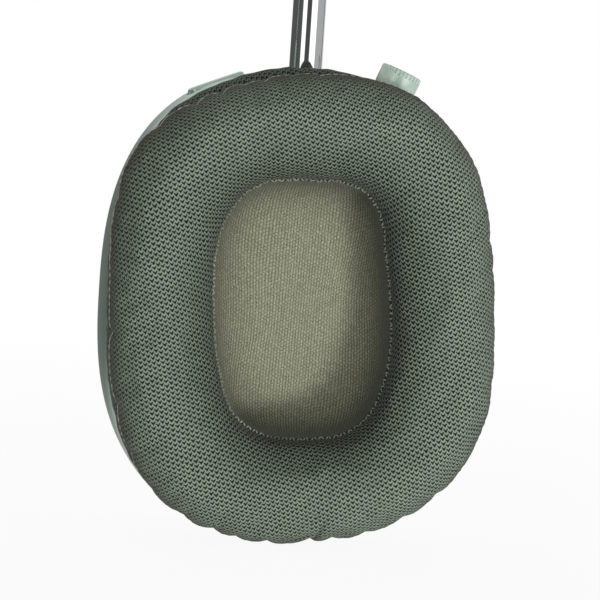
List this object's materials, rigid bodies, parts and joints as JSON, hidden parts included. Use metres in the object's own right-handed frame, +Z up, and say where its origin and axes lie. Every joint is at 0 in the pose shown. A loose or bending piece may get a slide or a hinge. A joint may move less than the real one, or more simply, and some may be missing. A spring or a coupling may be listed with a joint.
{
  "type": "over-ear headset",
  "caption": "Wireless over-ear headset: oval metal ear cups with mesh-knit cushions, telescoping steel stems, a crown and a button, and a knit canopy between the headband's rails.",
  "frame": {"origin": "on the surface that the cups stand on, under the middle of the headset's width and depth", "axes": "+X to the wearer's right, +Y out of the cups' flat outer faces (the ear cushions face -Y), +Z up through the headband"},
  "size_m": [0.2134, 0.0505, 0.205],
  "materials": {
    "anodised_metal": "satin anodised, pale green",
    "polished_steel": "polished",
    "plain_steel": "plain",
    "copper": "wound wire",
    "dark_plastic": "matt",
    "soft_touch": "soft-touch coating over a steel frame",
    "cushion_knit": "open mesh knit over foam",
    "lining_knit": "fine rib knit",
    "canopy_knit": "open mesh knit",
    "dark_mesh": "woven mesh",
    "circuit_board": "solder mask",
    "battery_wrap": "heat-shrunk wrap",
    "membrane": "satin",
    "light_lens": "gloss"
  },
  "bodies": {
    "headband": {"headband_frame": "soft_touch", "canopy": "canopy_knit", "right_arm_collar": "anodised_metal", "left_arm_collar": "anodised_metal", "right_arm_bush": "dark_plastic", "left_arm_bush": "dark_plastic"},
    "right_stem": {"right_stem": "polished_steel", "right_stem_clip": "plain_steel", "right_stem_slider": "dark_plastic"},
    "right_pivot": {"right_pivot_block": "plain_steel", "right_dust_shield": "dark_plastic"},
    "right_cup": {"right_housing": "anodised_metal", "right_hinge_cradle": "plain_steel", "right_baffle": "dark_plastic", "right_driver_basket": "dark_plastic", "right_driver_magnet": "plain_steel", "right_diaphragm": "membrane", "right_voice_coil": "copper", "right_board": "circuit_board", "right_cushion": "cushion_knit", "right_cushion_plate": "dark_plastic", "right_ear_mesh": "lining_knit", "right_mic_grille": "dark_mesh", "crown_bush": "dark_plastic", "crown_switch": "dark_plastic", "button_switch": "dark_plastic", "charge_socket": "plain_steel", "status_light": "light_lens"},
    "left_stem": {"left_stem": "polished_steel", "left_stem_clip": "plain_steel", "left_stem_slider": "dark_plastic"},
    "left_pivot": {"left_pivot_block": "plain_steel", "left_dust_shield": "dark_plastic"},
    "left_cup": {"left_housing": "anodised_metal", "left_hinge_cradle": "plain_steel", "left_baffle": "dark_plastic", "left_driver_basket": "dark_plastic", "left_driver_magnet": "plain_steel", "left_diaphragm": "membrane", "left_voice_coil": "copper", "left_board": "circuit_board", "left_cushion": "cushion_knit", "left_cushion_plate": "dark_plastic", "left_ear_mesh": "lining_knit", "left_mic_grille": "dark_mesh", "battery": "battery_wrap"},
    "crown_plunger": {"crown_sleeve": "plain_steel"},
    "crown": {"crown_cap": "anodised_metal", "crown_spindle": "plain_steel"},
    "mode_button": {"mode_button": "anodised_metal"}
  },
  "joints": [
    {"name": "right_stem_slide", "type": "slide", "parent": "headband", "child": "right_stem", "axis": [0, 0, -1], "range_m": [-0.014, 0.016]},
    {"name": "right_cup_swivel", "type": "hinge", "parent": "right_stem", "child": "right_pivot", "pos_m": [0.065, 0.0063, 0.0862], "axis": [0, 0, -1], "range_deg": [0, 96]},
    {"name": "right_cup_tilt", "type": "hinge", "parent": "right_pivot", "child": "right_cup", "pos_m": [0.065, 0.0063, 0.0862], "axis": [1, 0, 0], "range_deg": [-8, 8], "stiffness_Nm_per_rad": 0.8},
    {"name": "left_stem_slide", "type": "slide", "parent": "headband", "child": "left_stem", "axis": [0, 0, -1], "range_m": [-0.014, 0.016]},
    {"name": "left_cup_swivel", "type": "hinge", "parent": "left_stem", "child": "left_pivot", "pos_m": [-0.065, 0.0063, 0.0862], "axis": [0, 0, 1], "range_deg": [0, 96]},
    {"name": "left_cup_tilt", "type": "hinge", "parent": "left_pivot", "child": "left_cup", "pos_m": [-0.065, 0.0063, 0.0862], "axis": [1, 0, 0], "range_deg": [-8, 8], "stiffness_Nm_per_rad": 0.8},
    {"name": "crown_press", "type": "slide", "parent": "right_cup", "child": "crown_plunger", "axis": [-0.3772, 0, -0.9261], "range_m": [0, 0.0004], "stiffness_N_per_m": 1500, "springref_m": -0.0002},
    {"name": "crown_spin", "type": "hinge", "parent": "crown_plunger", "child": "crown", "pos_m": [0.0845, 0.0063, 0.09743], "axis": [0.3772, 0, 0.9261], "continuous": true},
    {"name": "button_press", "type": "slide", "parent": "right_cup", "child": "mode_button", "axis": [0.3772, 0, -0.9261], "range_m": [0, 0.0004], "stiffness_N_per_m": 1500, "springref_m": -0.0002}
  ]
}
